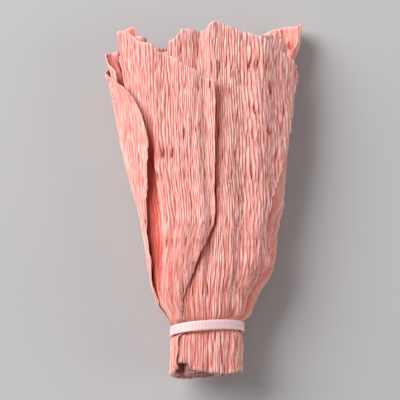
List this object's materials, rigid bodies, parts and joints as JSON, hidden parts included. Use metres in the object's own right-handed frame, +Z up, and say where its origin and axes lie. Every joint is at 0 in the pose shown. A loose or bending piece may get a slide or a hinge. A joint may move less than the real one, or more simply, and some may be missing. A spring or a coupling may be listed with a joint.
{
  "type": "crepe paper flower",
  "caption": "Unopened crepe paper flower head: petals gathered into a flattened bundle and held by a cable tie above a short rolled stub.",
  "frame": {"origin": "under the middle of the bounding box, on the surface that the flower lies on", "axes": "+Y along the bundle from the stub to the petal tips, +X to the right seen from above, +Z up"},
  "size_m": [0.0866, 0.1576, 0.0285],
  "materials": {
    "crepe_paper": "matt salmon pink crepe paper with lengthwise crinkles",
    "tie_nylon": "slightly translucent pale pink nylon"
  },
  "bodies": {
    "root": {"petal_front_right": "crepe_paper", "petal_front_left": "crepe_paper", "petal_left_flap": "crepe_paper", "petal_back_right": "crepe_paper", "petal_back_left": "crepe_paper", "petal_inner_right": "crepe_paper", "petal_inner_core": "crepe_paper", "cable_tie": "tie_nylon"}
  },
  "joints": []
}
